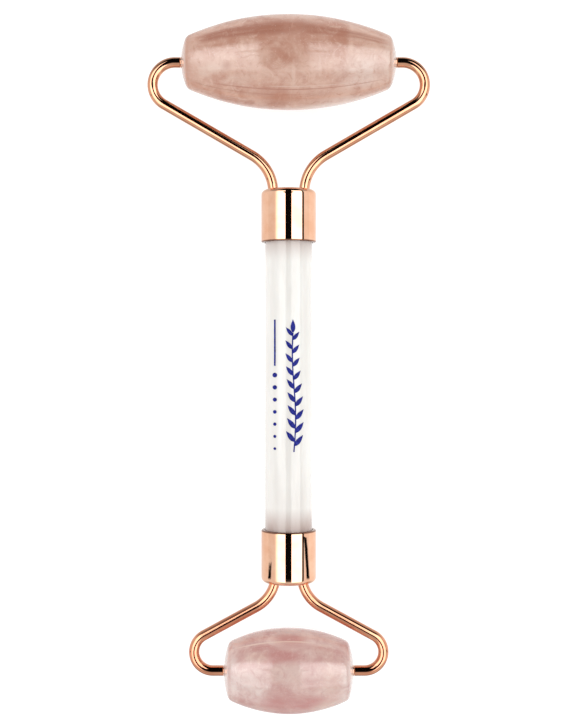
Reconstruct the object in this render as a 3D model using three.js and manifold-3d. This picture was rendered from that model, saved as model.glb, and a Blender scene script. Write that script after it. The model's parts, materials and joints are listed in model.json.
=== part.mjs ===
// Double-ended face roller: a barrel-shaped stone in a wire fork at each end of a stone handle.
// Units are millimetres, +Z is up, the handle lies along Y and both axles lie along X.
// The roller lies on its two stones, so the handle slopes down a little to the smaller one.

import * as THREE from 'three';
import { mergeVertices } from 'three/addons/utils/BufferGeometryUtils.js';
import Module from 'manifold-3d';

const wasm = await Module();
wasm.setup();

// ---------- driving dimensions ----------

const gap = 0.3; // clearance left between pieces that touch
const axleSpacing = 130.9; // large axle to small axle, along the handle

const handle = { diameter: 10.2, shownLength: 61.7, depthInFerrule: 7.2, collar: 0.8 };
handle.tenonDiameter = 8.6;
handle.endChamfer = 0.4;

const ferrule = { outerRadius: 5.9, boreRadius: 5.4, length: 11.3, endWall: 0.9 };
ferrule.endRound = 1.1;
ferrule.mouthRound = 0.2;

const anchorLength = 2.6; // metal slug that grips both wires inside a ferrule
const wireRadius = 1.125;

// One fork's bent wire: shank in the ferrule, bend, straight leg, loop, journal on the axle.
const largeFork = {
  axleReach: 69.55, // from the middle of the handle to the axle
  halfSpan: 29.25, // widest point of the wire's centreline
  loopRadius: 4.8,
  bendRadius: 9.2,
  shankOffset: 3.33, // shank centreline to the handle's axis
  legAngle: THREE.MathUtils.degToRad(30.1), // between the leg and the axle
};
const smallFork = {
  axleReach: axleSpacing - largeFork.axleReach,
  halfSpan: 20.4,
  loopRadius: 4.05,
  bendRadius: 8,
  shankOffset: 2.8,
  legAngle: THREE.MathUtils.degToRad(28.5),
};

// Barrel stones: radius at the middle, curve along the axle, rim position and domed ends.
const largeStone = { radius: 10.1, barrelRadius: 55, rimPosition: 21.85, halfLength: 23.1 };
const smallStone = { radius: 9.1, barrelRadius: 29.5, rimPosition: 12.85, halfLength: 13.95 };
const rimSoftening = 0.7; // how far the rounded rim reaches along each side

// Each wire ends in a thinner journal that runs in a nylon sleeve, deep in the stone's bore.
// A stepped metal eyelet closes the bore's mouth, and its neck shows beside the wire.
const journal = { radius: 0.6, depth: 7, overlap: 0.3 };
const sleeve = { wall: 0.5, length: 4.8 };
const eyelet = { bodyLength: 1.6, neckRadius: 1.2, neckLength: 0.45 };
const bearingRadius = journal.radius + gap;
const sleeveRadius = bearingRadius + sleeve.wall;
const stoneBoreRadius = sleeveRadius + gap;

// ---------- mesh fineness ----------

const roundSegments = 48;
const smallRoundSegments = 24;
const barrelSteps = 12;
const rimSteps = 2;
const domeSteps = 3;
const edgeSteps = 3;
const wireSides = 12;
const bendStep = THREE.MathUtils.degToRad(12); // longest turn in one straight piece of a bend

// ---------- materials ----------

const materials = {
  roseQuartz: { color: 0xd6aea0, roughness: 0.16, metalness: 0 },
  milkyQuartz: { color: 0xf1efec, roughness: 0.2, metalness: 0 },
  roseGold: { color: 0xe8a884, roughness: 0.12, metalness: 1 },
  steel: { color: 0xa09c98, roughness: 0.45, metalness: 1 },
  epoxy: { color: 0xe6dcbc, roughness: 0.5, metalness: 0 },
  nylon: { color: 0xf0ece4, roughness: 0.55, metalness: 0 },
};

function mesh(name, geometry, materialName) {
  const piece = new THREE.Mesh(
    geometry,
    new THREE.MeshStandardMaterial(materials[materialName]),
  );
  piece.name = name;
  return piece;
}

// ---------- shape helpers ----------

// Turns an outline of [radius, height] points round the Y axis.
function lathe(outline, segments) {
  const points = outline.map(([radius, height]) => new THREE.Vector2(radius, height));
  return new THREE.LatheGeometry(points, segments);
}

// Points of a circular arc, from one angle to another.
function arc(centreX, centreY, radius, startAngle, endAngle, steps) {
  const clockwise = endAngle < startAngle;
  const curve = new THREE.EllipseCurve(
    centreX, centreY, radius, radius, startAngle, endAngle, clockwise,
  );
  return curve.getPoints(steps).map((point) => [point.x, point.y]);
}

// A round ring or tube standing on the Y axis between two heights.
function ring(innerRadius, outerRadius, bottom, top, segments) {
  const outline = [
    [innerRadius, bottom],
    [outerRadius, bottom],
    [outerRadius, top],
    [innerRadius, top],
    [innerRadius, bottom],
  ];
  return lathe(outline, segments);
}

// The axis of a turned piece is brought from Y to X, for everything that sits on an axle.
function alongAxle(geometry) {
  return geometry.rotateZ(-Math.PI / 2);
}

function toManifold(geometry) {
  const clean = geometry.clone();
  clean.deleteAttribute('normal');
  clean.deleteAttribute('uv');
  const merged = mergeVertices(clean);
  return new wasm.Manifold(new wasm.Mesh({
    numProp: 3,
    vertProperties: new Float32Array(merged.attributes.position.array),
    triVerts: new Uint32Array(merged.index.array),
  }));
}

function fromManifold(manifold) {
  const result = manifold.getMesh();
  const geometry = new THREE.BufferGeometry();
  geometry.setAttribute('position', new THREE.BufferAttribute(result.vertProperties, 3));
  geometry.setIndex(new THREE.BufferAttribute(result.triVerts, 1));
  geometry.computeVertexNormals();
  return geometry;
}

// ---------- bent wire ----------

// A wire's centreline in the XY plane, made of straight runs and bends laid end to end.
class WireLine extends THREE.Curve {
  constructor(startX, startY, heading) {
    super();
    this.heading = heading;
    this.stations = [{ x: startX, y: startY, heading }];
  }

  straight(length) {
    const last = this.stations.at(-1);
    this.stations.push({
      x: last.x + length * Math.cos(this.heading),
      y: last.y + length * Math.sin(this.heading),
      heading: this.heading,
    });
    return this;
  }

  // A positive turn is to the left.
  bend(radius, turn) {
    const last = this.stations.at(-1);
    const side = Math.sign(turn);
    const centreX = last.x - side * radius * Math.sin(this.heading);
    const centreY = last.y + side * radius * Math.cos(this.heading);
    const startHeading = this.heading;
    const steps = Math.ceil(Math.abs(turn) / bendStep);
    for (let step = 1; step <= steps; step += 1) {
      this.heading = startHeading + (turn * step) / steps;
      this.stations.push({
        x: centreX + side * radius * Math.sin(this.heading),
        y: centreY - side * radius * Math.cos(this.heading),
        heading: this.heading,
      });
    }
    return this;
  }

  // The sweep takes one step per station, so straight runs stay one piece long.
  getUtoTmapping(position) {
    return position;
  }

  getPoint(position) {
    const place = position * (this.stations.length - 1);
    const index = Math.min(Math.floor(place), this.stations.length - 2);
    const here = this.stations[index];
    const next = this.stations[index + 1];
    const share = place - index;
    return new THREE.Vector3(
      THREE.MathUtils.lerp(here.x, next.x, share),
      THREE.MathUtils.lerp(here.y, next.y, share),
      0,
    );
  }

  getTangent(position) {
    const station = this.stations[Math.round(position * (this.stations.length - 1))];
    return new THREE.Vector3(Math.cos(station.heading), Math.sin(station.heading), 0);
  }
}

const ferruleEnd = handle.shownLength / 2 + ferrule.length;
const anchorTop = ferruleEnd - ferrule.endWall - gap;
const anchorBottom = anchorTop - anchorLength;

// Where the full thickness of the wire ends, just outside the eyelet's neck.
function shoulderPosition(stone) {
  return stone.halfLength + eyelet.neckLength + gap;
}

// Centreline of the arm on the +X side of a fork that points along +Y.
function armLine(fork, stone) {
  const { axleReach, halfSpan, loopRadius, bendRadius, shankOffset, legAngle } = fork;
  const sine = Math.sin(legAngle);
  const cosine = Math.cos(legAngle);
  const legRun = halfSpan - shankOffset - (loopRadius + bendRadius) * (1 - sine);
  const legLength = legRun / cosine;
  const rise = loopRadius * (1 + cosine) + legLength * sine + bendRadius * cosine;
  const shankTop = axleReach - rise;
  const shoulderLength = halfSpan - loopRadius - shoulderPosition(stone);
  return new WireLine(shankOffset, anchorBottom, Math.PI / 2)
    .straight(shankTop - anchorBottom)
    .bend(bendRadius, legAngle - Math.PI / 2)
    .straight(legLength)
    .bend(loopRadius, Math.PI - legAngle)
    .straight(shoulderLength);
}

function wire(line, radius) {
  const section = new THREE.Shape().absarc(0, 0, radius, 0, 2 * Math.PI, false);
  return new THREE.ExtrudeGeometry(section, {
    extrudePath: line,
    steps: line.stations.length - 1,
    curveSegments: wireSides / 2,
    bevelEnabled: false,
  });
}

// The whole arm: the bent wire and the thin journal that carries on along the axle.
function armGeometry(fork, stone) {
  const outside = shoulderPosition(stone) + journal.overlap;
  const inside = stone.halfLength - journal.depth;
  const pin = new THREE.CylinderGeometry(
    journal.radius, journal.radius, outside - inside, wireSides,
  );
  alongAxle(pin).translate((outside + inside) / 2, fork.axleReach, 0);
  return fromManifold(toManifold(wire(armLine(fork, stone), wireRadius)).add(toManifold(pin)));
}

// Cuts the two holes that a fork's shanks pass through, with clearance all round.
function withShankHoles(geometry, fork, stone) {
  const right = wire(armLine(fork, stone), wireRadius + gap);
  const left = right.clone().rotateY(Math.PI);
  const holes = toManifold(right).add(toManifold(left));
  return fromManifold(toManifold(geometry).subtract(holes));
}

// ---------- pieces of the handle ----------

function handleGeometry() {
  const radius = handle.diameter / 2;
  const tenonRadius = handle.tenonDiameter / 2;
  const mouth = handle.shownLength / 2;
  const tip = mouth + handle.depthInFerrule;
  const half = [
    [radius, mouth + handle.collar],
    [tenonRadius, mouth + handle.collar],
    [tenonRadius, tip - handle.endChamfer],
    [tenonRadius - handle.endChamfer, tip],
    [0, tip],
  ];
  const otherHalf = half.map(([r, y]) => [r, -y]).reverse();
  return lathe([...otherHalf, ...half], roundSegments);
}

// The glue between a tenon and its ferrule, on the +Y end.
function adhesiveGeometry() {
  const mouth = handle.shownLength / 2;
  return ring(
    handle.tenonDiameter / 2 + gap,
    ferrule.boreRadius - gap,
    mouth + handle.collar + gap,
    mouth + handle.depthInFerrule - handle.endChamfer,
    roundSegments,
  );
}

// A deep cup, open toward the handle, with a softly rounded end wall.
function ferruleGeometry(fork, stone) {
  const { outerRadius, boreRadius, endWall, endRound, mouthRound } = ferrule;
  const mouth = handle.shownLength / 2;
  const quarter = Math.PI / 2;
  const outline = [
    [0, ferruleEnd - endWall],
    [boreRadius, ferruleEnd - endWall],
    [boreRadius, mouth],
    ...arc(outerRadius - mouthRound, mouth + mouthRound, mouthRound, -quarter, 0, edgeSteps),
    ...arc(outerRadius - endRound, ferruleEnd - endRound, endRound, 0, quarter, edgeSteps),
    [0, ferruleEnd],
  ];
  return withShankHoles(lathe(outline, roundSegments), fork, stone);
}

function anchorGeometry(fork, stone) {
  const outline = [
    [0, anchorBottom + gap],
    [ferrule.boreRadius - gap, anchorBottom + gap],
    [ferrule.boreRadius - gap, anchorTop],
    [0, anchorTop],
  ];
  return withShankHoles(lathe(outline, roundSegments), fork, stone);
}

// ---------- pieces on the axles ----------

// A barrel with domed ends and a bore right through, lying along X.
function stoneGeometry(stone) {
  const { radius, barrelRadius, rimPosition, halfLength } = stone;
  const barrelCentre = radius - barrelRadius;
  const rimRadius = barrelCentre + Math.sqrt(barrelRadius ** 2 - rimPosition ** 2);
  const domeHeight = halfLength - rimPosition;
  const domeRadius = (rimRadius ** 2 + domeHeight ** 2) / (2 * domeHeight);
  const barrelAngle = Math.asin((rimPosition - rimSoftening) / barrelRadius);
  const domeStart = Math.acos((rimRadius - rimSoftening) / domeRadius);
  const domeEnd = Math.acos(stoneBoreRadius / domeRadius);
  const domeCentre = halfLength - domeRadius;
  const barrel = arc(barrelCentre, 0, barrelRadius, 0, barrelAngle, barrelSteps / 2);
  const dome = arc(0, domeCentre, domeRadius, domeStart, domeEnd, domeSteps);
  const rim = new THREE.QuadraticBezierCurve(
    new THREE.Vector2(...barrel.at(-1)),
    new THREE.Vector2(rimRadius, rimPosition),
    new THREE.Vector2(...dome[0]),
  );
  const rimInside = rim.getPoints(rimSteps).slice(1, -1).map((point) => [point.x, point.y]);
  const half = [...barrel, ...rimInside, ...dome];
  const otherHalf = half.slice(1).map(([r, x]) => [r, -x]).reverse();
  const outline = [...otherHalf, ...half];
  return alongAxle(lathe([...outline, outline[0]], roundSegments));
}

// The +X eyelet of a stone: a short body in the bore and a narrow neck that stands out.
function eyeletGeometry(stone) {
  const { bodyLength, neckRadius, neckLength } = eyelet;
  const bodyTop = stone.halfLength - gap;
  const neckTop = stone.halfLength + neckLength;
  const outline = [
    [bearingRadius, bodyTop - bodyLength],
    [sleeveRadius, bodyTop - bodyLength],
    [sleeveRadius, bodyTop],
    [neckRadius, bodyTop],
    [neckRadius, neckTop],
    [bearingRadius, neckTop],
    [bearingRadius, bodyTop - bodyLength],
  ];
  return alongAxle(lathe(outline, smallRoundSegments));
}

// The +X nylon sleeve that a journal runs in, behind the eyelet.
function sleeveGeometry(stone) {
  const outside = stone.halfLength - eyelet.bodyLength - 2 * gap;
  const tube = ring(
    bearingRadius, sleeveRadius, outside - sleeve.length, outside, smallRoundSegments,
  );
  return alongAxle(tube);
}

// ---------- assembly ----------

// Everything fixed at one end of the handle, built toward +Y.
function forkEnd(size, fork, stone) {
  const end = new THREE.Group();
  end.add(mesh(`${size}_ferrule`, ferruleGeometry(fork, stone), 'roseGold'));
  end.add(mesh(`${size}_anchor`, anchorGeometry(fork, stone), 'steel'));
  end.add(mesh(`${size}_adhesive`, adhesiveGeometry(), 'epoxy'));
  for (const [side, turn] of [['right', 0], ['left', Math.PI]]) {
    const arm = mesh(`${size}_arm_${side}`, armGeometry(fork, stone), 'roseGold');
    arm.rotation.y = turn;
    end.add(arm);
  }
  return end;
}

// A stone with its eyelets and sleeves, all turning together about the X axis.
function rollerSet(size, stone) {
  const set = new THREE.Group();
  set.add(mesh(`${size}_stone`, stoneGeometry(stone), 'roseQuartz'));
  for (const [side, turn] of [['right', 0], ['left', Math.PI]]) {
    const mouth = mesh(`${size}_eyelet_${side}`, eyeletGeometry(stone), 'roseGold');
    const bearing = mesh(`${size}_sleeve_${side}`, sleeveGeometry(stone), 'nylon');
    mouth.rotation.y = turn;
    bearing.rotation.y = turn;
    set.add(mouth, bearing);
  }
  return set;
}

// Where the axles are when both stones touch the table and the outline is centred on Y = 0.
const radiusDifference = largeStone.radius - smallStone.radius;
const slope = Math.asin(radiusDifference / axleSpacing);
const axleRun = axleSpacing * Math.cos(slope);
const halfOutline = (axleRun + largeStone.radius + smallStone.radius) / 2;
const largeAxleY = halfOutline - largeStone.radius;
const smallAxleY = smallStone.radius - halfOutline;

const frame = new THREE.Group();
frame.rotation.x = slope;
frame.position.set(
  0,
  largeAxleY - largeFork.axleReach * Math.cos(slope),
  largeStone.radius - largeFork.axleReach * Math.sin(slope),
);
frame.add(mesh('handle', handleGeometry(), 'milkyQuartz'));
frame.add(forkEnd('large', largeFork, largeStone));
const smallEnd = forkEnd('small', smallFork, smallStone);
smallEnd.rotation.x = Math.PI;
frame.add(smallEnd);

const largeSet = rollerSet('large', largeStone);
largeSet.position.set(0, largeAxleY, largeStone.radius);
const smallSet = rollerSet('small', smallStone);
smallSet.position.set(0, smallAxleY, smallStone.radius);

const roller = new THREE.Group();
roller.name = 'face_roller';
roller.add(frame, largeSet, smallSet);

export default roller;
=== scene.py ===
"""Looks for the double-ended rose quartz face roller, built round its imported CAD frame.

Shapes are given in millimetres and become metres where each mesh is made. Every piece is built
at its own origin: a fork and its ferrule along +Y from the middle of the handle, a stone and its
eyelets along X from the middle of the axle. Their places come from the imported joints.
"""

import json
import math

import bmesh
import bpy
from mathutils import Matrix, Vector, noise


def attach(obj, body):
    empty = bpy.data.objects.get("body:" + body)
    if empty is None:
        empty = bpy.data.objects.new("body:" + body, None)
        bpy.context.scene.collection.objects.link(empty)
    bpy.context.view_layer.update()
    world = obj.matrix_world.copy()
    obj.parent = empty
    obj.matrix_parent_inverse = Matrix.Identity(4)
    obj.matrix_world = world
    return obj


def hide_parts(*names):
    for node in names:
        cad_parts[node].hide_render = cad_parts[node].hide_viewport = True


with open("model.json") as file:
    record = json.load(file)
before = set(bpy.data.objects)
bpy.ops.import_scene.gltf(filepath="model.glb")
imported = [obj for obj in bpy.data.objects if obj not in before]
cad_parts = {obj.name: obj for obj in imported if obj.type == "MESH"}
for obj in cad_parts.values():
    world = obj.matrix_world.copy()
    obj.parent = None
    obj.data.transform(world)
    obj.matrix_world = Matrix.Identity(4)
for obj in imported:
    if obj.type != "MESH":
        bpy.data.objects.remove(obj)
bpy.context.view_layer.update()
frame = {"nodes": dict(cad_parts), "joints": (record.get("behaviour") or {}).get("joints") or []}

# ---------- dimensions, in millimetres ----------

MM = 0.001
QUARTER = math.pi / 2  # a quarter turn

HANDLE = {
    "radius": 5.1,
    "shown_length": 61.7,
    "in_ferrule": 7.2,
    "collar": 0.8,  # how far the full thickness goes into a ferrule, before the tenon
    "tenon_radius": 4.3,
    "end_round": 0.5,
}
MOUTH = HANDLE["shown_length"] / 2  # from the middle of the handle to either ferrule
FERRULE = {
    "radius": 5.9,
    "bore": 5.4,
    "length": 11.3,
    "end_wall": 0.9,
    "end_round": 1.1,
    "mouth_round": 0.3,
    "mouth_radius": 5.16,  # the mouth is drawn in until it just meets the handle
    "mouth_bevel": 0.05,
    "mouth_land": 0.25,
    "mouth_taper": 0.9,  # the bore has its full width this far in
}
FERRULE_END = MOUTH + FERRULE["length"]
WIRE = {
    "radius": 1.125,
    "hole_radius": 1.19,
    "in_ferrule": 2.9,
    "end_round": 0.1,
    "end_clearance": 0.07,  # between the thick part of a wire and the eyelet's neck
}
FORKS = {
    "large": {
        "axle_reach": 69.55,  # from the middle of the handle to the axle
        "half_span": 29.25,
        "loop_radius": 4.8,
        "bend_radius": 9.2,
        "shank_offset": 3.33,
        "leg_angle": math.radians(30.1),
    },
    "small": {
        "axle_reach": 61.35,
        "half_span": 20.4,
        "loop_radius": 4.05,
        "bend_radius": 8.0,
        "shank_offset": 2.8,
        "leg_angle": math.radians(28.5),
    },
}
STONES = {
    "large": {"radius": 10.1, "barrel_radius": 55.0, "rim": 21.85, "half_length": 23.1},
    "small": {"radius": 9.1, "barrel_radius": 29.5, "rim": 12.85, "half_length": 13.95},
}
RIM_SOFTENING = 0.7
STONE_BORE = 1.5
TRUE_WITHIN = 1.65  # a stone is not uneven this near its axle, so its bore is true
GRINDING = {  # how deep the dips are, and how many there are to a millimetre
    "handle": {"depth": 0.05, "frequency": 0.35},
    "stone": {"depth": 0.08, "frequency": 0.16},
}
JOURNAL = {"radius": 0.6, "depth": 7.0, "chamfer": 0.15}
EYELET = {
    "body_radius": 1.4,
    "body_length": 1.6,
    "neck_radius": 1.2,
    "neck_length": 0.1,
    "bore": 0.7,
    "edge_round": 0.12,
    "set_back": 0.12,  # from the end of the stone's bore to the body
}

SIDES = {"handle": 96, "ferrule": 144, "stone": 128, "eyelet": 64, "wire": 32, "hole": 48}
BEND_STEP = math.radians(3)
SMOOTH_BELOW = math.radians(32)

# ---------- places, in metres ----------

AXLES = {joint["child"]: Vector(joint["pos_m"]) for joint in frame["joints"]}
LARGE_AXLE = AXLES["large_roller"]
SMALL_AXLE = AXLES["small_roller"]
AXIS = (LARGE_AXLE - SMALL_AXLE).normalized()
MIDDLE = SMALL_AXLE + AXIS * FORKS["small"]["axle_reach"] * MM
HANDLE_PLACE = Matrix.Translation(MIDDLE) @ Matrix.Rotation(math.asin(AXIS.z), 4, "X")
END_PLACES = {
    "large": HANDLE_PLACE,
    "small": HANDLE_PLACE @ Matrix.Rotation(math.pi, 4, "X"),
}
AXLE_PLACES = {
    "large": Matrix.Translation(LARGE_AXLE),
    "small": Matrix.Translation(SMALL_AXLE),
}
SIDE_TURNS = {"right": Matrix.Identity(4), "left": Matrix.Rotation(math.pi, 4, "Y")}

# ---------- mesh helpers ----------


def evenly(start, end, steps):
    """Numbers from start to end in equal steps, with both of them."""
    return [start + (end - start) * step / steps for step in range(steps + 1)]


def arc(centre, radius, start, end, steps):
    """Points (along, radius) of a circular arc; angles turn from the along direction."""
    points = []
    for angle in evenly(start, end, steps):
        points.append((centre[0] + radius * math.cos(angle), centre[1] + radius * math.sin(angle)))
    return points


def rounded_corner(along, radius, size, toward, steps=5):
    """A quarter round at the outer edge of a turned end that faces toward +1 or -1."""
    centre = (along - toward * size, radius - size)
    start, end = (QUARTER, 0) if toward > 0 else (math.pi, QUARTER)
    return arc(centre, size, start, end, steps)


def turned(outline, segments, axis="X"):
    """Vertices and faces of an outline of (along, radius) points turned round an axis.

    The outline starts and ends on the axis, or goes all the way round a section away from it.
    """
    vertices = []
    rings = []
    for along, radius in outline:
        ring = []
        count = segments if radius > 0 else 1
        for index in range(count):
            angle = 2 * math.pi * index / segments
            across, up = radius * math.cos(angle), radius * math.sin(angle)
            ring.append(len(vertices))
            vertices.append((along, across, up) if axis == "X" else (across, along, up))
        rings.append(ring)
    pairs = list(zip(rings, rings[1:]))
    if outline[0][1] > 0:
        pairs.append((rings[-1], rings[0]))
    faces = []
    for ring, following in pairs:
        for index in range(segments):
            beyond = (index + 1) % segments
            corners = [
                ring[index % len(ring)],
                ring[beyond % len(ring)],
                following[beyond % len(following)],
                following[index % len(following)],
            ]
            face = list(dict.fromkeys(corners))
            if len(face) > 2:
                faces.append(face)
    return vertices, faces


def tube(stations, sides):
    """A round bar along (x, y, heading, radius) stations in the XY plane, with closed ends."""
    vertices = []
    for x, y, heading, radius in stations:
        for index in range(sides):
            angle = 2 * math.pi * index / sides
            across = radius * math.cos(angle)
            vertices.append((
                x - across * math.sin(heading),
                y + across * math.cos(heading),
                radius * math.sin(angle),
            ))
    faces = []
    for ring in range(len(stations) - 1):
        for index in range(sides):
            here = ring * sides
            beyond = (index + 1) % sides
            faces.append([
                here + index, here + beyond, here + sides + beyond, here + sides + index,
            ])
    faces.append(list(range(sides)))
    faces.append(list(range(len(vertices) - sides, len(vertices))))
    return vertices, faces


def ground_dip(kind, x, y, z):
    """How low grinding left a point of the handle or a stone."""
    place = Vector((x, y, z)) * GRINDING[kind]["frequency"]
    return GRINDING[kind]["depth"] * (0.5 + 0.5 * noise.noise(place))


def smooth(mesh):
    """Smooth shading, but for the edges that are sharp."""
    mesh.shade_smooth()
    mesh.set_sharp_from_angle(angle=SMOOTH_BELOW)


def add_object(name, data):
    """An object in the scene."""
    made = bpy.data.objects.new(name, data)
    bpy.context.scene.collection.objects.link(made)
    return made


def make_piece(name, shape, place, material):
    """A smooth-shaded mesh object from vertices in millimetres, standing at its place."""
    vertices, faces = shape
    mesh = bpy.data.meshes.new(name)
    mesh.from_pydata([Vector(vertex) * MM for vertex in vertices], [], faces)
    editing = bmesh.new()
    editing.from_mesh(mesh)
    bmesh.ops.recalc_face_normals(editing, faces=editing.faces)
    editing.to_mesh(mesh)
    editing.free()
    smooth(mesh)
    mesh.materials.append(material)
    piece = add_object(name, mesh)
    piece.matrix_world = place
    return piece


def join_frame(piece, body, node):
    """Makes a piece ride on a CAD body and stand for one of its nodes."""
    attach(piece, body)
    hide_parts(node)


def keep_mesh(piece):
    """Applies a piece's modifiers, and marks its sharp edges again."""
    evaluated = piece.evaluated_get(bpy.context.evaluated_depsgraph_get())
    mesh = bpy.data.meshes.new_from_object(evaluated)
    piece.modifiers.clear()
    piece.data = mesh
    smooth(mesh)


# ---------- shader helpers ----------

NOISE_RANGE = (0.3, 0.7)  # nearly all of a cloud's values lie between these
SPOT_CORE = 0.25  # the share of a spot that has its full strength
MIX_INPUTS = (0, 6, 7)  # a Mix node's sockets for the share and two colours
MIX_RESULT = 2


def colour(red, green, blue):
    """A display colour from 0 to 255 as the linear colour that Blender shades with."""
    def linear(value):
        share = value / 255
        return share / 12.92 if share <= 0.04045 else ((share + 0.055) / 1.055) ** 2.4
    return (linear(red), linear(green), linear(blue), 1.0)


class Nodes:
    """Builds one shader tree. A value is a plain number or colour, or another node's output."""

    def __init__(self, tree):
        self.tree = tree

    def add(self, kind, **settings):
        made = self.tree.nodes.new(kind)
        for key, value in settings.items():
            setattr(made, key, value)
        return made

    def put(self, value, socket):
        """Links or sets one input."""
        if isinstance(value, bpy.types.NodeSocket):
            self.tree.links.new(value, socket)
        else:
            socket.default_value = value

    def fill(self, node, *values):
        """Links or sets inputs in order."""
        for value, socket in zip(values, node.inputs):
            self.put(value, socket)
        return node.outputs

    def feed(self, node, **values):
        """Links or sets inputs by name, with _ for a space."""
        for name, value in values.items():
            self.put(value, node.inputs[name.replace("_", " ")])
        return node.outputs

    def calc(self, operation, *values):
        return self.fill(self.add("ShaderNodeMath", operation=operation), *values)[0]

    def product(self, first, *others):
        for other in others:
            first = self.calc("MULTIPLY", first, other)
        return first

    def distance(self, first, second):
        """How far apart two numbers are."""
        return self.calc("ABSOLUTE", self.calc("SUBTRACT", first, second))

    def opposite(self, share):
        return self.calc("SUBTRACT", 1.0, share)

    def vector(self, operation, *values):
        outputs = self.fill(self.add("ShaderNodeVectorMath", operation=operation), *values)
        return outputs["Value" if operation == "LENGTH" else "Vector"]

    def scaled(self, vector, factor):
        made = self.add("ShaderNodeVectorMath", operation="SCALE")
        return self.feed(made, Vector=vector, Scale=factor)["Vector"]

    def axes(self, vector):
        """The X, Y and Z of a vector."""
        return self.fill(self.add("ShaderNodeSeparateXYZ"), vector)

    def ramp(self, value, start, end, low=0.0, high=1.0):
        """Turns softly from low to high as a value goes from start to end."""
        made = self.add("ShaderNodeMapRange", interpolation_type="SMOOTHSTEP")
        return self.feed(
            made, Value=value, From_Min=start, From_Max=end, To_Min=low, To_Max=high,
        )[0]

    def vary(self, cloud, low=0.0, high=1.0):
        """Turns from low to high over a cloud's usual range."""
        return self.ramp(cloud, *NOISE_RANGE, low, high)


class Surface(Nodes):
    """A Principled material built up from layers, with coordinates in its piece's millimetres."""

    def __init__(self, name, ground, **shader):
        self.material = bpy.data.materials.new(name)
        self.material.use_nodes = True
        super().__init__(self.material.node_tree)
        self.shader = self.tree.nodes["Principled BSDF"]
        self.feed(self.shader, **shader)
        self.body = ground
        metres = self.add("ShaderNodeTexCoord").outputs["Object"]
        self.place = self.scaled(metres, 1 / MM)

    def axis(self, name):
        return self.axes(self.place)[name]

    def stretched(self, stretch, place=None):
        """Coordinates scaled along each axis, for grain that runs one way."""
        made = self.add("ShaderNodeMapping")
        return self.feed(made, Vector=place or self.place, Scale=stretch)[0]

    def round_axle(self, radius):
        """Coordinates moved in or out to one distance from the X axis."""
        outward = self.vector("NORMALIZE", self.vector("MULTIPLY", self.place, (0, 1, 1)))
        along = self.vector("MULTIPLY", self.place, (1, 0, 0))
        return self.vector("ADD", self.scaled(outward, radius), along)

    def turn_round_axle(self):
        """The angle round the X axis, from +Z toward +Y."""
        return self.calc("ARCTAN2", self.axis("Y"), self.axis("Z"))

    def cloud(self, size, detail=4.0, rough=0.55, warp=0.0, place=None):
        """Soft noise from 0 to 1; size is the width of one cloud in millimetres."""
        made = self.add("ShaderNodeTexNoise")
        self.feed(made, Vector=place or self.place, Scale=1 / size, Detail=detail)
        return self.feed(made, Roughness=rough, Distortion=warp)["Fac"]

    def spot(self, centre, size):
        """A soft-edged egg of the given half sizes: 1 in its middle, 0 outside it."""
        away = self.vector("DIVIDE", self.vector("SUBTRACT", self.place, centre), size)
        return self.ramp(self.vector("LENGTH", away), 1.0, SPOT_CORE)

    def lay(self, tone, share):
        """Lays a tone over the colour so far, by a share from 0 to 1."""
        made = self.add("ShaderNodeMix", data_type="RGBA")
        for value, index in zip((share, self.body, tone), MIX_INPUTS):
            self.put(value, made.inputs[index])
        self.body = made.outputs[MIX_RESULT]

    def tint(self, tone, value, start, end, strength=1.0):
        """Lays a tone over the colour so far as a value goes from start to end."""
        self.lay(tone, self.ramp(value, start, end, 0.0, strength))

    def finish(self, roughness, height, depth, strength=1.0):
        """The material, with its colour, its roughness and relief of a depth in millimetres."""
        relief = self.feed(
            self.add("ShaderNodeBump"), Height=height, Distance=depth * MM, Strength=strength,
        )
        self.feed(self.shader, Base_Color=self.body, Roughness=roughness, Normal=relief[0])
        return self.material


# ---------- stone materials ----------

QUARTZ_IOR = 1.544

# Tones of each stone, from its own deep to its milk, and two for its marks, which on the large
# stone also paint reflection.
STONE_TONES = {
    "large": {
        "deep": colour(184, 131, 111),
        "middle": colour(205, 158, 139),
        "pale": colour(224, 190, 173),
        "milk": colour(240, 231, 225),
        "shade": colour(172, 118, 99),
        "cream": colour(226, 200, 186),
    },
    "small": {
        "deep": colour(194, 146, 141),
        "middle": colour(213, 174, 165),
        "pale": colour(226, 200, 191),
        "milk": colour(240, 229, 223),
        "shade": colour(192, 132, 128),
        "cream": colour(226, 200, 186),
    },
}
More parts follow.
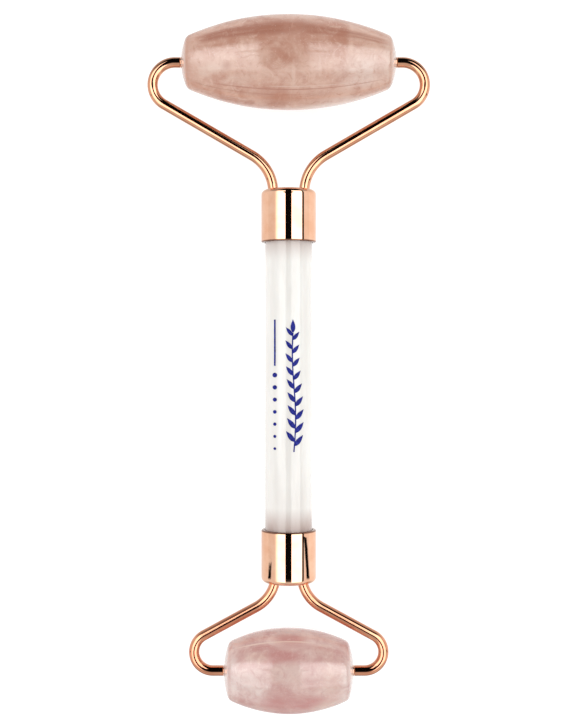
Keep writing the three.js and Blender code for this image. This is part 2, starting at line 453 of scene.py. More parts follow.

# Marks in each stone, natural but for the large stone's painted ones noted below: centre, half
# sizes, tone and strength.
MARKS = {
    "large": [
        ((-1, 2, 10), (7, 6, 3), "deep", 0.3),
        ((1, -4.5, 9), (0.6, 4, 3), "cream", 0.6),
        ((6.5, -3.5, 9.2), (0.5, 3, 3), "cream", 0.35),
        ((-15.5, -3, 8.2), (3.6, 2, 3), "cream", 0.55),
        ((-11, -5.5, 7.6), (5, 1.6, 3), "cream", 0.4),
        ((17.5, -2, 8.2), (7, 5, 4), "cream", 0.45),
        ((-13, -2.8, 9.2), (1.7, 1.5, 3), "shade", 0.55),
        ((-18, -3.5, 7.4), (2.6, 2.2, 3), "cream", 0.5),
        ((-2, -9, 5), (6, 2, 4), "deep", 0.5),
        # painted shade: the dark band above the highlights, where the stone reflects the dark
        # ceiling
        ((0, 5.8, 8.3), (12, 3.6, 3.4), "shade", 0.75),
        ((0, -8.2, 5.6), (17, 2.2, 4), "shade", 0.3),
        ((-1, -4.6, 8.9), (19, 3.6, 3.6), "pale", 0.65),
        ((22, -1, 5), (4, 9, 7), "cream", 0.75),
        ((15.5, -4.5, 7), (8, 5, 5), "milk", 0.3),
        # painted reflection: a pale glassy band along the lower rim
        ((12, -9, 0), (11, 3, 6), "milk", 0.4),
        ((-22, -1, 5), (3.5, 9, 7), "deep", 0.3),
    ],
    "small": [
        ((-1.5, 4.9, 7.6), (6.5, 2.4, 3), "shade", 0.8),
        ((5.5, -5.6, 7.1), (6, 3.4, 3), "shade", 0.5),
        ((0.5, 7.6, 4.6), (5, 2, 3), "shade", 0.7),
        ((0, -5.2, 7.4), (11.5, 3.2, 3.6), "shade", 0.7),
        ((0, -8.2, 3), (10, 3, 6), "shade", 0.8),
        ((0, 1.6, 8.9), (6, 3.4, 3.2), "pale", 0.7),
        ((-6.5, 4.4, 7), (3.6, 1.8, 3), "cream", 0.5),
        ((8, 6, 6), (3.6, 1.8, 3), "cream", 0.5),
        ((-8, -2, 7.8), (6, 6, 4), "milk", 0.45),
        ((9.5, 0, 7.8), (4, 7, 4), "cream", 0.4),
        ((-12.8, 0, 5), (3.4, 9, 7), "milk", 0.5),
        ((12.8, -2, 5), (3, 8, 7), "milk", 0.4),
        ((8, -6.6, 5.4), (4.5, 3, 4), "cream", 0.45),
    ],
}

# Streaks that follow the barrel: angle round it and half width in degrees, where along the axle
# the streak's middle is, half its length, tone and strength.
STREAKS = {
    "large": [
        # painted shade: these two are the dark band above the highlights, where the stone reflects
        # the dark ceiling
        (31, 14, -9.5, 11, "shade", 0.9),
        (29, 10, 12, 10.5, "shade", 0.7),
        (-47, 1.2, 2, 21, "shade", 0.6),
        (-55, 1, -8, 14, "shade", 0.5),
        (-43, 1, 6, 12, "cream", 0.45),
        # painted reflection: a pale glassy band along the lower rim
        (-84, 9, 13, 12, "cream", 0.7),
    ],
    "small": [
        (55, 1.6, -3, 9.5, "cream", 0.85),
        (47, 5, 2, 12, "shade", 0.3),
    ],
}
STREAK_CORE = {"across": 0.35, "along": 0.6}  # the shares of a streak at its full strength


def add_clouds(surface, tones, wisps, grain):
    """The stone's own tones, in clouds, wisps and a grain along the barrel."""
    deep, pale = tones["deep"], tones["pale"]
    surface.tint(pale, surface.cloud(8.0, detail=5, rough=0.6, warp=0.5), *NOISE_RANGE)
    surface.lay(tones["middle"], 0.25)
    surface.tint(pale, wisps, start=0.5, end=0.68, strength=0.65)
    surface.tint(deep, wisps, start=0.48, end=0.32, strength=0.6)
    surface.tint(pale, grain, start=0.54, end=0.74, strength=0.35)
    surface.tint(deep, grain, start=0.46, end=0.28, strength=0.35)


def add_marks(surface, tones, marks, wisps):
    """Soft patches of colour, thinner where there are fewer wisps."""
    thinned = surface.ramp(wisps, 0.3, 0.6, low=0.4)
    for centre, size, tone, strength in marks:
        surface.lay(tones[tone], surface.product(surface.spot(centre, size), strength, thinned))


def add_streaks(surface, tones, streaks, grain):
    """Streaks that follow the barrel, broken up by its grain."""
    turn = surface.turn_round_axle()
    along = surface.axis("X")
    broken = surface.ramp(grain, 0.3, 0.55, low=0.3)
    for angle, half_angle, middle, reach, tone, strength in streaks:
        off = surface.distance(turn, math.radians(angle))
        width = math.radians(half_angle)
        line = surface.ramp(off, width, width * STREAK_CORE["across"], 0.0, strength)
        away = surface.distance(along, middle)
        length = surface.ramp(away, reach, reach * STREAK_CORE["along"])
        surface.lay(tones[tone], surface.product(line, length, broken))


def add_cracks(surface, tones, round_barrel):
    """Fine cracks round the barrel, small milky crystals and a few dark specks."""
    cracks = surface.cloud(1.3, detail=6, rough=0.7, warp=0.4,
                           place=surface.stretched((1.0, 0.22, 0.22), round_barrel))
    surface.tint(tones["pale"], cracks, start=0.56, end=0.74, strength=0.4)
    surface.tint(tones["deep"], cracks, start=0.42, end=0.28, strength=0.3)
    surface.tint(tones["milk"], surface.cloud(0.32, detail=3), start=0.6, end=0.78, strength=0.3)
    surface.tint(tones["deep"], surface.cloud(0.5, detail=1), start=0.8, end=0.86, strength=0.5)


def add_ends(surface, tones, rim):
    """Slightly darker rims and pale domed ends."""
    away = surface.calc("ABSOLUTE", surface.axis("X"))
    surface.tint(tones["deep"], away, start=rim - 0.9, end=rim - 0.4, strength=0.2)
    surface.tint(tones["milk"], away, start=rim - 0.2, end=rim + 0.15, strength=0.3)


def rose_quartz(size):
    """Polished rose quartz for one stone, with its own natural marks and, on the large stone,
    painted reflection in a dark band and a pale rim.
    """
    stone, tones = STONES[size], STONE_TONES[size]
    surface = Surface(
        f"rose_quartz_{size}", tones["deep"], IOR=QUARTZ_IOR, Subsurface_Weight=0.12,
        Subsurface_Radius=(1.0, 0.6, 0.45), Subsurface_Scale=1.2 * MM,
        Sheen_Weight=0.25, Sheen_Roughness=0.25,
    )
    round_barrel = surface.round_axle(stone["radius"])
    wisps = surface.cloud(2.6, detail=7, rough=0.7, warp=1.2)
    grain = surface.cloud(1.1, detail=6, rough=0.7,
                          place=surface.stretched((0.1, 1, 1), round_barrel))
    add_clouds(surface, tones, wisps, grain)
    add_marks(surface, tones, MARKS[size], wisps)
    add_streaks(surface, tones, STREAKS[size], grain)
    add_cracks(surface, tones, round_barrel)
    add_ends(surface, tones, stone["rim"])
    haze = surface.cloud(2.4, detail=5)
    grind = surface.cloud(3.0, detail=3, rough=0.5)
    relief = surface.calc("ADD", grind, surface.product(grain, 0.15))
    return surface.finish(surface.vary(haze, 0.07, 0.13), relief, depth=0.05, strength=0.6)


def painted_ferrule_reflection(surface):
    """How much painted reflection and shade of the ferrules the handle carries along its length.
    """
    along = surface.axis("Y")
    to_large = surface.ramp(along, MOUTH - 5.0, MOUTH + 0.3, high=0.7)
    to_small = surface.ramp(along, 6.5 - MOUTH, -MOUTH)
    faint = surface.ramp(along, 17.0 - MOUTH, 5.0 - MOUTH, high=0.13)
    return surface.calc("MAXIMUM", to_large, surface.calc("MAXIMUM", to_small, faint))


def milky_quartz():
    """The handle: white, streaky quartz, with painted reflection and shade of the ferrules' rosy
    colour beside them.
    """
    clear = colour(239, 236, 231)
    white = colour(252, 250, 245)
    ferrule_reflection_tone = colour(192, 170, 162)
    surface = Surface(
        "milky_quartz", clear, IOR=QUARTZ_IOR, Subsurface_Weight=0.2,
        Subsurface_Radius=(1.0, 0.9, 0.8), Subsurface_Scale=1.5 * MM,
    )
    clouds = surface.cloud(5.0, detail=6, rough=0.6, place=surface.stretched((1, 0.16, 1)))
    threads = surface.cloud(0.7, detail=4, place=surface.stretched((1, 0.08, 1)))
    haze = surface.cloud(2.0, detail=5, place=surface.stretched((1, 0.4, 1)))
    ripple = surface.cloud(4.0, detail=3, place=surface.stretched((1, 0.2, 1)))
    surface.tint(white, clouds, start=0.35, end=0.65)
    surface.tint(clear, threads, start=0.55, end=0.75, strength=0.3)
    uneven = surface.vary(clouds, low=0.75)
    # Painted reflection and shade: the ferrules' rosy colour laid on the handle next to them.
    surface.lay(ferrule_reflection_tone, surface.product(painted_ferrule_reflection(surface), uneven))
    return surface.finish(surface.vary(haze, 0.06, 0.12), ripple, depth=0.02, strength=0.5)


# ---------- other materials ----------

# The wires' golds are darker copies of the ferrules' plating: painted shade standing in for how
# the wires are lit.
PALE_GOLD = (colour(248, 200, 170), colour(240, 184, 150))
LARGE_WIRE_SHADED_GOLD = (colour(233, 176, 142), colour(221, 157, 123))
SMALL_WIRE_SHADED_GOLD = (colour(232, 168, 134), colour(220, 148, 116))
BRASS = colour(232, 190, 140)
MOUTH_SHADE_COPPER = colour(104, 58, 40)
MOUTH_SHADE_REACH = (0.42, 0.16)  # from a ferrule's mouth to where its painted shade line starts and is full


def rose_gold(name, tones, grain, mouth=None):
    """Polished rose-gold plating: fine scratches, worn edges and a painted shade line at a mouth.
    """
    plate, warm = tones
    surface = Surface(name, plate, Metallic=1.0)
    tone = surface.cloud(4.0, detail=5)
    scratches = surface.cloud(0.5, detail=6, rough=0.7, place=surface.stretched(grain))
    fine = surface.ramp(scratches, 0.6, 0.8)
    edges = surface.add("ShaderNodeNewGeometry").outputs["Pointiness"]
    worn = surface.ramp(edges, 0.53, 0.62, high=0.6)
    surface.tint(warm, tone, *NOISE_RANGE)
    surface.lay(BRASS, worn)
    # Painted shade: a dark line on the lip of the mouth, where the handle meets the ferrule.
    if mouth is not None:
        start, full = (mouth + reach for reach in MOUTH_SHADE_REACH)
        surface.tint(MOUTH_SHADE_COPPER, surface.axis("Y"), start, full, strength=0.85)
    roughness = surface.vary(tone, 0.02, 0.05)
    roughness = surface.calc("ADD", roughness, surface.product(fine, 0.06))
    roughness = surface.calc("ADD", roughness, surface.product(worn, 0.1))
    waves = surface.cloud(2.6, detail=3)
    relief = surface.calc("ADD", waves, surface.product(fine, -0.015))
    return surface.finish(roughness, relief, depth=0.006, strength=0.5)


def inner_material(name, first, second, size, roughness, metallic=0.0):
    """Hidden parts: a mottled colour with a matching variation in roughness and relief."""
    surface = Surface(name, first, Metallic=metallic)
    swing = 0.08
    mottle = surface.cloud(size, detail=6)
    surface.tint(second, mottle, *NOISE_RANGE)
    rough = surface.vary(mottle, roughness - swing, roughness + swing)
    return surface.finish(rough, mottle, depth=0.03)


def ink():
    """Indigo print with a slightly uneven, semi-gloss film."""
    surface = Surface("indigo_print", colour(26, 32, 120), IOR=1.5, Specular_IOR_Level=0.15)
    mottle = surface.cloud(0.5, detail=5)
    surface.tint(colour(48, 56, 158), mottle, start=0.4, end=0.7)
    return surface.finish(surface.vary(mottle, 0.35, 0.55), mottle, depth=0.01)


QUARTZ = {size: rose_quartz(size) for size in STONES}
HANDLE_QUARTZ = milky_quartz()
FERRULE_GOLD = rose_gold("rose_gold_ferrule", PALE_GOLD, (1, 0.12, 1), mouth=MOUTH)
WIRE_GOLD = {
    "large": rose_gold("rose_gold_wire_large", LARGE_WIRE_SHADED_GOLD, (0.6, 0.6, 1)),
    "small": rose_gold("rose_gold_wire_small", SMALL_WIRE_SHADED_GOLD, (0.6, 0.6, 1)),
}
EYELET_GOLD = rose_gold("rose_gold_eyelet", PALE_GOLD, (1, 0.6, 0.6))
INK = ink()
STEEL = inner_material(
    "sintered_steel", colour(150, 146, 142), colour(176, 172, 168), 0.4, 0.42, metallic=1.0,
)
EPOXY = inner_material("cured_epoxy", colour(226, 214, 180), colour(240, 230, 200), 1.2, 0.4)
NYLON = inner_material("nylon", colour(232, 227, 218), colour(244, 240, 232), 0.8, 0.5)

# ---------- handle ----------


def build_handle():
    """A ground stone rod with a tenon inside each ferrule. Its dips run along it."""
    half = MOUTH + HANDLE["in_ferrule"]
    collar = MOUTH + HANDLE["collar"]
    radius, tenon, soft = HANDLE["radius"], HANDLE["tenon_radius"], HANDLE["end_round"]
    shown = [(along, radius) for along in evenly(-collar, collar, 60)]
    left = [(-half, 0.0), *rounded_corner(-half, tenon, soft, -1), (-collar, tenon)]
    right = [(collar, tenon), *rounded_corner(half, tenon, soft, 1), (half, 0.0)]
    outline = [*left, *shown, *right]
    vertices, faces = turned(outline, SIDES["handle"], axis="Y")
    uneven = []
    for x, y, z in vertices:
        shrink = 1 - ground_dip("handle", x, y * 0.5, z) / radius
        uneven.append((x * shrink, y, z * shrink))
    piece = make_piece("handle_stone", (uneven, faces), HANDLE_PLACE, HANDLE_QUARTZ)
    join_frame(piece, "handle_assembly", "handle")


# ---------- print: a rule, a row of dots and a leafy sprig, in the handle's X and Y ----------

PRINT = {
    "top": 14.2,
    "bottom": -13.8,
    "lift": 0.012,
    "film": 0.02,
    "least_half_width": 0.02,  # of a dot or a leaf, at its ends
}
RULE = {"x": -2.95, "width": 0.34, "bottom": 4.4}
DOTS = {"x": -2.95, "count": 7, "radius": 0.5, "shrink": 0.035}
DOTS["first"] = 0.75  # how far below the rule, in spaces between dots
SPRIG = {"x": 1.1, "sway": 0.35, "stem_width": 0.26, "pairs": 9}
SPRIG["first_pair"] = 0.6  # how far up the stem, in spaces between pairs
SPRIG["stagger"] = 0.45  # half the height between the two leaves of a pair
LEAF = {
    "length": 2.8,
    "half_width": 0.5,
    "tilt": math.radians(38),
    "lowest_scale": 1.05,
    "taper": 0.25,
    "bulge": 0.8,  # below 1, the leaf is widest nearer its base
}


def on_handle(x, y):
    """A point on the handle's upper side, just proud of the stone."""
    radius = HANDLE["radius"] + PRINT["lift"]
    return (x, y, math.sqrt(radius ** 2 - x ** 2))


def strip(left, right):
    """Rows of quads between two lines of (x, y) points, laid on the handle."""
    rows = 4
    vertices = []
    for (ax, ay), (bx, by) in zip(left, right):
        for share in evenly(0, 1, rows):
            vertices.append(on_handle(ax + (bx - ax) * share, ay + (by - ay) * share))
    faces = []
    for step in range(len(left) - 1):
        for row in range(rows):
            corner = step * (rows + 1) + row
            faces.append([corner, corner + 1, corner + rows + 2, corner + rows + 1])
    return vertices, faces


def band_shape(centre_line, width, bottom, top, steps=40):
    """A band of one width up a centre line, which gives x for each y."""
    left, right = [], []
    for y in evenly(bottom, top, steps):
        left.append((centre_line(y) - width / 2, y))
        right.append((centre_line(y) + width / 2, y))
    return strip(left, right)


def dot_shape(x, y, radius, steps=12):
    """A round dot, as a strip that widens and narrows."""
    left, right = [], []
    for angle in evenly(0, math.pi, steps):
        width = max(radius * math.sin(angle), PRINT["least_half_width"])
        height = y + radius * math.cos(angle)
        left.append((x - width, height))
        right.append((x + width, height))
    return strip(left, right)


def leaf_shape(base, side, scale, steps=12):
    """A pointed leaf that leaves the stem at base: to the left or right (-1, 1) or up (0)."""
    angle = QUARTER - side * LEAF["tilt"]
    along = Vector((math.cos(angle), math.sin(angle)))
    across = Vector((-along.y, along.x))
    left, right = [], []
    for share in evenly(0, 1, steps):
        width = LEAF["half_width"] * scale * math.sin(math.pi * share ** LEAF["bulge"])
        width = max(width, PRINT["least_half_width"])
        middle = base + along * LEAF["length"] * scale * share
        left.append(tuple(middle + across * width))
        right.append(tuple(middle - across * width))
    return strip(left, right)


def joined(shapes):
    """One shape from several."""
    vertices, faces = [], []
    for more_vertices, more_faces in shapes:
        start = len(vertices)
        vertices += more_vertices
        faces += [[start + corner for corner in face] for face in more_faces]
    return vertices, faces


def rule_shape():
    """A straight line up the handle."""
    return band_shape(lambda y: RULE["x"], RULE["width"], RULE["bottom"], PRINT["top"])


def dots_shape():
    """A row of dots below the rule, each smaller than the one above."""
    dots = []
    spacing = (RULE["bottom"] - PRINT["bottom"]) / DOTS["count"]
    for index in range(DOTS["count"]):
        y = RULE["bottom"] - spacing * (index + DOTS["first"])
        dots.append(dot_shape(DOTS["x"], y, DOTS["radius"] - DOTS["shrink"] * index))
    return joined(dots)


def stem_x(y):
    """Where the swaying stem is at a height."""
    share = (y - PRINT["bottom"]) / (PRINT["top"] - PRINT["bottom"])
    return SPRIG["x"] + SPRIG["sway"] * math.sin(2 * math.pi * share)


def sprig_shape():
    """A stem with a leaf at its tip and staggered pairs that get smaller toward it."""
    stem_top = PRINT["top"] - LEAF["length"]
    stem = band_shape(stem_x, SPRIG["stem_width"], PRINT["bottom"], stem_top)
    leaves = [leaf_shape(Vector((stem_x(stem_top), stem_top)), 0, 1.0)]
    for index in range(SPRIG["pairs"]):
        share = (index + SPRIG["first_pair"]) / SPRIG["pairs"]
        y = PRINT["bottom"] + (stem_top - PRINT["bottom"]) * share
        scale = LEAF["lowest_scale"] - LEAF["taper"] * share
        for side in (-1, 1):
            base = Vector((stem_x(y), y - SPRIG["stagger"] * side))
            leaves.append(leaf_shape(base, side, scale))
    return joined([stem, *leaves])


def build_print():
    """The indigo decoration, as a thin film of real thickness on the handle."""
    shapes = {
        "print_rule": rule_shape(),
        "print_dots": dots_shape(),
        "print_sprig": sprig_shape(),
    }
    for name, shape in shapes.items():
        piece = make_piece(name, shape, HANDLE_PLACE, INK)
        film = piece.modifiers.new("film", "SOLIDIFY")
        film.thickness = PRINT["film"] * MM
        film.offset = 1.0
        keep_mesh(piece)
        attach(piece, "handle_assembly")


# ---------- wires and ferrules ----------


class Pen:
    """Draws a bent bar as (x, y, heading, radius) stations, one stretch after another."""

    def __init__(self, x, y, heading, radius):
        self.x, self.y, self.heading = x, y, heading
        self.radius = radius
        self.stations = []
        self.mark(x, y)

    def mark(self, x, y):
        self.x, self.y = x, y
        self.stations.append((x, y, self.heading, self.radius))

    def straight(self, length, steps):
        x, y = self.x, self.y
        for run in evenly(0, length, steps)[1:]:
            self.mark(x + run * math.cos(self.heading), y + run * math.sin(self.heading))

    def turn(self, radius, angle):
        """An arc to the left, or to the right for an angle below 0."""
        reach = math.copysign(radius, angle)
        x = self.x - reach * math.sin(self.heading)
        y = self.y + reach * math.cos(self.heading)
        steps = math.ceil(abs(angle) / BEND_STEP)
        for heading in evenly(self.heading, self.heading + angle, steps)[1:]:
            self.heading = heading
            self.mark(x + reach * math.sin(self.heading), y - reach * math.cos(self.heading))


def bent_wire(fork, stone):
    """The arm on the +X side: shank, bend, leg, loop and the stretch on the axle."""
    lean = fork["leg_angle"]
    sine, cosine = math.sin(lean), math.cos(lean)
    loop, bend = fork["loop_radius"], fork["bend_radius"]
    leg_run = fork["half_span"] - fork["shank_offset"] - (loop + bend) * (1 - sine)
    leg_length = leg_run / cosine
    rise = loop * (1 + cosine) + leg_length * sine + bend * cosine
    start = FERRULE_END - FERRULE["end_wall"] - WIRE["in_ferrule"]
    shoulder = stone["half_length"] + EYELET["neck_length"] + WIRE["end_clearance"]
    pen = Pen(fork["shank_offset"], start, QUARTER, WIRE["radius"])
    pen.straight(fork["axle_reach"] - rise - start, 4)
    pen.turn(bend, lean - QUARTER)
    pen.straight(leg_length, 6)
    pen.turn(loop, math.pi - lean)
    pen.straight(fork["half_span"] - loop - shoulder - WIRE["end_round"], 2)
    return pen.stations


def wire_tip(stone, last):
    """The wire's rounded end beside the stone, and the thin journal that goes into it."""
    x, y, heading, radius = last
    soft, thin, chamfer = WIRE["end_round"], JOURNAL["radius"], JOURNAL["chamfer"]
    tip = stone["half_length"] - JOURNAL["depth"]
    rounded = []
    for share in (0.4, 0.75, 1.0):
        rounding = soft * (1 - math.sqrt(1 - share ** 2))
        rounded.append((x - soft * share, y, heading, radius - rounding))
    return [
        *rounded,
        (x - soft, y, heading, thin),
        (tip + chamfer, y, heading, thin),
        (tip, y, heading, thin - chamfer),
    ]


def build_arm(size, side):
    """One bent wire of a fork."""
    bar = bent_wire(FORKS[size], STONES[size])
    shape = tube([*bar, *wire_tip(STONES[size], bar[-1])], SIDES["wire"])
    place = END_PLACES[size] @ SIDE_TURNS[side]
    piece = make_piece(f"{size}_wire_{side}", shape, place, WIRE_GOLD[size])
    join_frame(piece, "handle_assembly", f"{size}_arm_{side}")


def ferrule_outline():
    """The section of a ferrule as (along, radius) points, from its end wall round its mouth."""
    radius, bore, mouth_radius = FERRULE["radius"], FERRULE["bore"], FERRULE["mouth_radius"]
    lip, soft = FERRULE["mouth_round"], FERRULE["end_round"]
    inner_wall = FERRULE_END - FERRULE["end_wall"]
    lip_arc = arc((MOUTH + lip, radius - lip), lip, 2 * QUARTER, QUARTER, 5)
    end_arc = arc((FERRULE_END - soft, radius - soft), soft, QUARTER, 0, 10)
    skirt = [(along, radius) for along in evenly(MOUTH + lip, FERRULE_END - soft, 12)[1:-1]]
    return [
        (inner_wall, 0.0),
        (inner_wall, bore),
        (MOUTH + FERRULE["mouth_taper"], bore),
        (MOUTH + FERRULE["mouth_land"], mouth_radius),
        (MOUTH, mouth_radius + FERRULE["mouth_bevel"]),
        *lip_arc,
        *skirt,
        *end_arc,
        (FERRULE_END, 0.0),
    ]


def cut_wire_holes(cup, size):
    """Drills a hole for each wire through a ferrule's end wall."""
    wall = FERRULE["end_wall"]
    drills = []
    for side in (-1, 1):
        x = side * FORKS[size]["shank_offset"]
        stations = [
            (x, FERRULE_END - 2 * wall, QUARTER, WIRE["hole_radius"]),
            (x, FERRULE_END + wall, QUARTER, WIRE["hole_radius"]),
        ]
        shape = tube(stations, SIDES["hole"])
        drills.append(make_piece("drill", shape, END_PLACES[size], FERRULE_GOLD))
        cut = cup.modifiers.new("wire_hole", "BOOLEAN")
        cut.object = drills[-1]
        cut.operation = "DIFFERENCE"
        cut.solver = "EXACT"
    keep_mesh(cup)
    for drill in drills:
        bpy.data.objects.remove(drill)


def build_ferrule(size):
    """A drawn metal cup with two holes in its end wall for the wires."""
    shape = turned(ferrule_outline(), SIDES["ferrule"], axis="Y")
    piece = make_piece(f"{size}_ferrule_cup", shape, END_PLACES[size], FERRULE_GOLD)
    cut_wire_holes(piece, size)
    join_frame(piece, "handle_assembly", f"{size}_ferrule")


# ---------- stones and eyelets ----------


def soft_edge(before, corner, after, steps=8):
    """The points of a curve that rounds a corner between two points, without its ends."""
    edge = []
    for share in evenly(0, 1, steps)[1:-1]:
        weights = ((1 - share) ** 2, 2 * share * (1 - share), share ** 2)
        points = (before, corner, after)
        along = sum(weight * point[0] for weight, point in zip(weights, points))
        away = sum(weight * point[1] for weight, point in zip(weights, points))
        edge.append((along, away))
    return edge


def stone_outline(stone):
    """The barrel, its soft rims and domed ends, and the bore, as (along, radius) points."""
    barrel_radius, rim = stone["barrel_radius"], stone["rim"]
    barrel_centre = stone["radius"] - barrel_radius
    rim_radius = barrel_centre + math.sqrt(barrel_radius ** 2 - rim ** 2)
    dome_height = stone["half_length"] - rim
    dome_radius = (rim_radius ** 2 + dome_height ** 2) / (2 * dome_height)
    dome_centre = stone["half_length"] - dome_radius
    barrel_angle = math.asin((rim - RIM_SOFTENING) / barrel_radius)
    dome_start = math.asin((rim_radius - RIM_SOFTENING) / dome_radius)
    dome_end = math.asin(STONE_BORE / dome_radius)
    barrel = arc((0, barrel_centre), barrel_radius, QUARTER, QUARTER - barrel_angle, 28)
    dome = arc((dome_centre, 0), dome_radius, dome_start, dome_end, 14)
    edge = soft_edge(barrel[-1], (rim, rim_radius), dome[0])
    half_outline = [*barrel, *edge, *dome]
    other_half = [(-along, away) for along, away in reversed(half_outline[1:])]
    return [*other_half, *half_outline]


def build_stone(size):
    """A tumbled barrel stone, a few hundredths of a millimetre out of true."""
    vertices, faces = turned(stone_outline(STONES[size]), SIDES["stone"])
    uneven = []
    for x, y, z in vertices:
        away = math.hypot(y, z)
        shrink = 1 - ground_dip("stone", x, y, z) / away if away > TRUE_WITHIN else 1.0
        uneven.append((x, y * shrink, z * shrink))
    piece = make_piece(f"{size}_barrel", (uneven, faces), AXLE_PLACES[size], QUARTZ[size])
    join_frame(piece, f"{size}_roller", f"{size}_stone")
    return piece


def build_eyelet(size, side):
    """A stepped metal eyelet: its body in the stone's bore, its neck standing out."""
    body, neck, bore = EYELET["body_radius"], EYELET["neck_radius"], EYELET["bore"]
    soft = EYELET["edge_round"]
    end = STONES[size]["half_length"]
    body_top = end - EYELET["set_back"]
    body_bottom = body_top - EYELET["body_length"]
    neck_top = end + EYELET["neck_length"]
    outline = [
        (body_bottom, bore),
        (body_bottom, body),
        *arc((body_top - soft, body - soft), soft, QUARTER, 0, 4),
        (body_top, neck),
        *arc((neck_top - soft, neck - soft), soft, QUARTER, 0, 5),
        *arc((neck_top - soft, bore + soft), soft, 0, -QUARTER, 4),
    ]
    place = AXLE_PLACES[size] @ SIDE_TURNS[side]
    shape = turned(outline, SIDES["eyelet"])
    piece = make_piece(f"{size}_mouth_{side}", shape, place, EYELET_GOLD)
    join_frame(piece, f"{size}_roller", f"{size}_eyelet_{side}")


def paint_hidden_parts(size):
    """Materials for the parts in a ferrule and a bore, which keep their CAD shape."""
    inner = {f"{size}_anchor": STEEL, f"{size}_adhesive": EPOXY}
    for side in SIDE_TURNS:
        inner[f"{size}_sleeve_{side}"] = NYLON
    for node, material in inner.items():
        frame["nodes"][node].material_slots[0].material = material


build_handle()
build_print()
barrels = {}
for size in STONES:
    build_ferrule(size)
    barrels[size] = build_stone(size)
    for side in SIDE_TURNS:
        build_arm(size, side)
        build_eyelet(size, side)
    paint_hidden_parts(size)

# ---------- studio ----------

TABLE = {"half_size": 2.5, "grey": 0.5, "glow": 0.72}

# The studio that polished metal reflects. Directions are unit vectors: X to the right, Y along
# the handle toward the large stone, Z up. Sideways is X for a direction turned square to the
# handle: 0 straight up, 1 level to the right and -1 level to the left. Each row says where one
# edge starts and ends, then its values there if they aren't 0 and 1.
STUDIO = {
    "left_box_inner": (-0.235, -0.255),
    "left_box_outer": (-0.9, -0.62),
    "right_box_inner": (0.195, 0.215),
    "right_box_outer": (0.85, 0.84),
    "box_ends": (0.62, 0.45),
    "box_bottom": (0.0, 0.1),
    "box_brightness": (-0.35, 0.0, 3.0, 3.5),
    "gap_widens": (0.17, 0.2, 0.0, 0.38),
    "gap_narrows": (0.3, 0.26),
    "left_wall": (-0.6, -0.8),
    "right_wall": (0.91, 0.925),
    "wall_brightness": (0.75, 0.35, 0.35, 1.1),
    "ceiling": (-0.2, -0.55, 0.004, 0.8),
    "ground": (-0.07, -0.1),
    "ground_toward_large": (0.1, 0.8, 1.2, 0.85),
    "ground_toward_small": (-0.75, -0.3, 0.45, 1.0),
    "right_brighter": (-0.3, 0.3, 1.0, 1.15),
    "clutter_angle": (-0.125, -0.19, 1.1, 1.56),  # from straight up, in radians
    "clutter_width": (0.2, 0.1),
    "left_clutter": (0.0, -0.01),
    "right_clutter": (0.0, 0.01),
    "left_clutter_start": (-0.168, -0.175),
    "right_clutter_start": (-0.1, -0.12),
    "clutter_end": (-0.24, -0.2),
}
CLUTTER_NOISE = {"Scale": 90.0, "Detail": 5.0}
CLUTTER_WOBBLE = 0.22


def build_floor():
    """A plain white table. Polished pieces reflect the studio round it instead."""
    half = TABLE["half_size"]
    corners = [(-half, -half, 0), (half, -half, 0), (half, half, 0), (-half, half, 0)]
    mesh = bpy.data.meshes.new("floor")
    mesh.from_pydata(corners, [], [[0, 1, 2, 3]])
    material = bpy.data.materials.new("white_table")
    material.use_nodes = True
    nodes = Nodes(material.node_tree)
    nodes.feed(
        material.node_tree.nodes["Principled BSDF"],
        Base_Color=(TABLE["grey"], TABLE["grey"], TABLE["grey"], 1), Roughness=1.0,
        Specular_IOR_Level=0.0, Emission_Color=(1, 1, 1, 1), Emission_Strength=TABLE["glow"],
    )
    mesh.materials.append(material)
    floor = add_object("floor", mesh)
    floor.visible_glossy = False


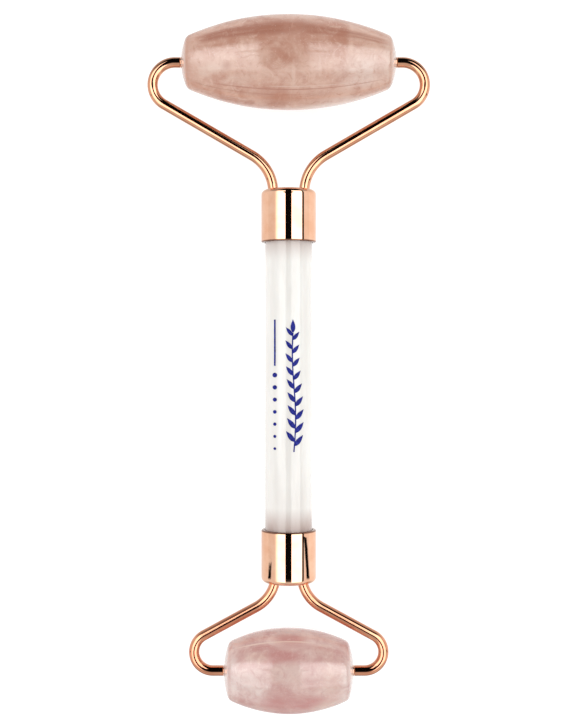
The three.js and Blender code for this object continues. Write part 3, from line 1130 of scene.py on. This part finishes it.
class Studio(Nodes):
    """Works out how bright the studio is in each direction."""

    def __init__(self, tree):
        super().__init__(tree)
        self.direction = self.add("ShaderNodeTexCoord").outputs["Generated"]
        self.x, self.y, self.z = self.axes(self.direction)
        squares = self.calc("ADD", self.product(self.x, self.x), self.product(self.z, self.z))
        flat = self.calc("MAXIMUM", self.calc("SQRT", squares), 1e-4)
        self.sideways = self.calc("DIVIDE", self.x, flat)

    def edge(self, name, value):
        return self.ramp(value, *STUDIO[name])

    def both_sides(self, **edges):
        """The left and the right one of something that each of the named edges bounds."""
        sides = []
        for side in ("left", "right"):
            shares = [self.edge(f"{side}_{name}", value) for name, value in edges.items()]
            sides.append(self.product(*shares))
        return self.calc("ADD", *sides)

    def boxes(self):
        """A soft box each side of a dark gap, which is wider where the large fork sees it."""
        wider = self.product(self.edge("gap_widens", self.y), self.edge("gap_narrows", self.y))
        gap = self.product(self.sideways, self.opposite(wider))
        return self.product(
            self.both_sides(box_inner=gap, box_outer=self.sideways),
            self.edge("box_ends", self.calc("ABSOLUTE", self.y)),
            self.edge("box_bottom", self.z),
            self.edge("box_brightness", self.y),
        )

    def clutter(self):
        """A ragged dark line on each side, seen only in the small ferrule."""
        ragged = self.add("ShaderNodeTexNoise")
        self.feed(ragged, Vector=self.direction, **CLUTTER_NOISE)
        lean = self.calc("SUBTRACT", ragged.outputs["Fac"], 0.5)
        wobble = self.product(lean, CLUTTER_WOBBLE)
        middle = self.calc("ADD", self.edge("clutter_angle", self.y), wobble)
        around = self.calc("ABSOLUTE", self.calc("ARCTAN2", self.x, self.z))
        return self.product(
            self.edge("clutter_width", self.distance(around, middle)),
            self.both_sides(clutter=self.x, clutter_start=self.y),
            self.edge("clutter_end", self.y),
        )

    def room(self):
        """The walls, ceiling and ground behind the boxes."""
        walls = self.both_sides(wall=self.sideways)
        walls = self.product(walls, self.edge("wall_brightness", self.y))
        above = self.calc("MAXIMUM", walls, self.edge("ceiling", self.y))
        below = self.product(
            self.edge("ground_toward_large", self.y), self.edge("ground_toward_small", self.y),
        )
        ground = self.edge("ground", self.z)
        return self.product(
            self.calc(
                "ADD", self.product(above, self.opposite(ground)), self.product(below, ground),
            ),
            self.edge("right_brighter", self.sideways),
            self.opposite(self.clutter()),
        )


def build_world():
    """A white room, in which polished metal sees the studio instead."""
    world = bpy.data.worlds.new("studio")
    world.use_nodes = True
    world.node_tree.nodes.clear()
    nodes = Studio(world.node_tree)
    studio = nodes.add("ShaderNodeBackground")
    nodes.feed(studio, Strength=nodes.calc("ADD", nodes.room(), nodes.boxes()))
    white = nodes.add("ShaderNodeBackground")
    nodes.feed(white, Color=(1, 1, 1, 1), Strength=1.0)
    pick = nodes.add("ShaderNodeMixShader")
    is_reflection = nodes.add("ShaderNodeLightPath").outputs["Is Glossy Ray"]
    nodes.fill(pick, is_reflection, white.outputs[0], studio.outputs[0])
    nodes.feed(nodes.add("ShaderNodeOutputWorld"), Surface=pick.outputs[0])
    bpy.context.scene.world = world


# ---------- highlights on the stones ----------

LAMP_HEIGHT = 0.7
END_GLOW = 0.1  # a soft box's brightness at its ends, as a share of its core
SIDE_GLOW = 0.6

# Where each stone sees its soft boxes, in degrees from straight up: across is toward +X, along
# is toward +Y, and core is where along the box its brightest part is.
GLOSS = {
    "large": {
        "left": {"across": (-50, -17), "along": (-26, 42), "core": 11, "radiance": 3.2},
        "right": {"across": (10, 57), "along": (-36, 40), "core": -4, "radiance": 2.9},
    },
    "small": {
        "left": {"across": (-56, -16), "along": (-14, 55), "core": 23, "radiance": 4.2},
        "right": {"across": (10, 57), "along": (-14, 50), "core": 16, "radiance": 3.1},
    },
}


def fade_lamp(lamp, core):
    """Dims a soft box from its core toward its ends and sides."""
    lamp.use_nodes = True
    nodes = Nodes(lamp.node_tree)
    place = nodes.add("ShaderNodeNewGeometry").outputs["Parametric"]
    across, along, _ = nodes.axes(place)
    share = nodes.product(
        nodes.ramp(across, 0.0, 0.5, low=SIDE_GLOW),
        nodes.ramp(across, 1.0, 0.5, low=SIDE_GLOW),
        nodes.ramp(along, 0.0, core, low=END_GLOW),
        nodes.ramp(along, 1.0, core, low=END_GLOW),
    )
    nodes.feed(lamp.node_tree.nodes["Emission"], Strength=share)


def reach_of(angle):
    """How far to the side a lamp is, for its angle from straight up."""
    return LAMP_HEIGHT * math.tan(math.radians(angle))


def build_gloss_lamp(name, box, receiver):
    """A soft box that only makes highlights, only on one stone."""
    axle_y = receiver.matrix_world.translation.y
    low, high = (reach_of(angle) for angle in box["across"])
    near, far = (axle_y + reach_of(angle) for angle in box["along"])
    core = axle_y + reach_of(box["core"])
    lamp = bpy.data.lights.new(name, "AREA")
    lamp.shape = "RECTANGLE"
    lamp.size = high - low
    lamp.size_y = far - near
    lamp.energy = box["radiance"] * math.pi * lamp.size * lamp.size_y
    fade_lamp(lamp, (core - near) / (far - near))
    holder = add_object(name, lamp)
    holder.location = ((low + high) / 2, (near + far) / 2, LAMP_HEIGHT)
    holder.visible_camera = False
    holder.visible_diffuse = False
    holder.visible_transmission = False
    lit = bpy.data.collections.new(f"{name}_receivers")
    lit.objects.link(receiver)
    holder.light_linking.receiver_collection = lit


# ---------- camera ----------

CAMERA = {"place": (-0.00005, 0.00016, 0.2695), "lens": 59.7, "sensor": 36.0}


def build_camera():
    """Straight above the roller."""
    data = bpy.data.cameras.new("camera")
    data.lens = CAMERA["lens"]
    data.sensor_width = CAMERA["sensor"]
    camera = add_object("camera", data)
    camera.location = CAMERA["place"]
    bpy.context.scene.camera = camera


build_floor()
build_world()
for size, boxes in GLOSS.items():
    for side, box in boxes.items():
        build_gloss_lamp(f"{size}_gloss_{side}", box, barrels[size])
build_camera()
bpy.context.scene.view_settings.view_transform = "Standard"
